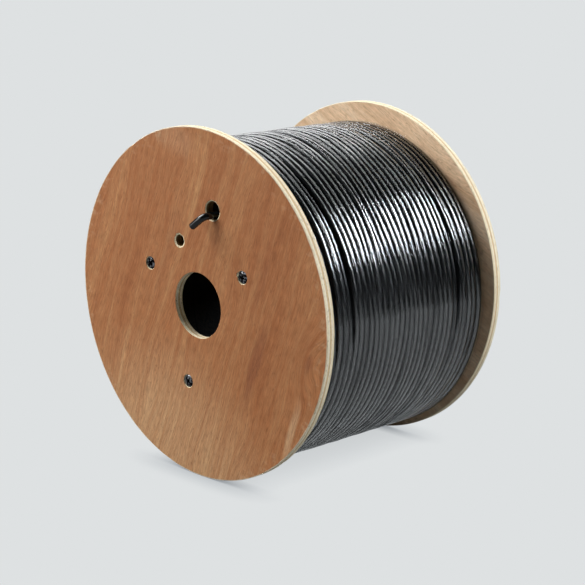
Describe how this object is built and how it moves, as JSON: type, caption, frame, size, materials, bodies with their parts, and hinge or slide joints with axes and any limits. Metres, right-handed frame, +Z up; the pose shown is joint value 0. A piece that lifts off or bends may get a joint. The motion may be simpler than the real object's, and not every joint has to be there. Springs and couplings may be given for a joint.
{
  "type": "wooden cable drum",
  "caption": "Small plywood cable drum with round flanges, a centre spindle bore and a drive pin hole, wound full with black round cable under clear stretch film.",
  "frame": {"origin": "on the floor, under the middle of the drum, where its two flange rims rest", "axes": "+X across the drum, +Y along the drum's axis towards the rear flange, +Z up"},
  "size_m": [0.3, 0.2278, 0.3],
  "materials": {
    "plywood": "bare rotary-cut plywood, red-brown face veneer and pale layered edge",
    "cardboard": "matt wound cardboard",
    "black_steel": "black-oxide steel",
    "zinc_steel": "zinc-plated steel",
    "cable_jacket": "smooth black cable jacket",
    "stretch_film": "clear polyethylene stretch film"
  },
  "bodies": {
    "root": {"front_flange": "plywood", "rear_flange": "plywood", "core_tube": "cardboard", "tie_bolt_1": "black_steel", "tie_bolt_2": "black_steel", "tie_bolt_3": "black_steel", "tee_nut_1": "zinc_steel", "tee_nut_2": "zinc_steel", "tee_nut_3": "zinc_steel", "cable_winding": "cable_jacket", "stretch_film": "stretch_film", "cable_tail": "cable_jacket"}
  },
  "joints": []
}
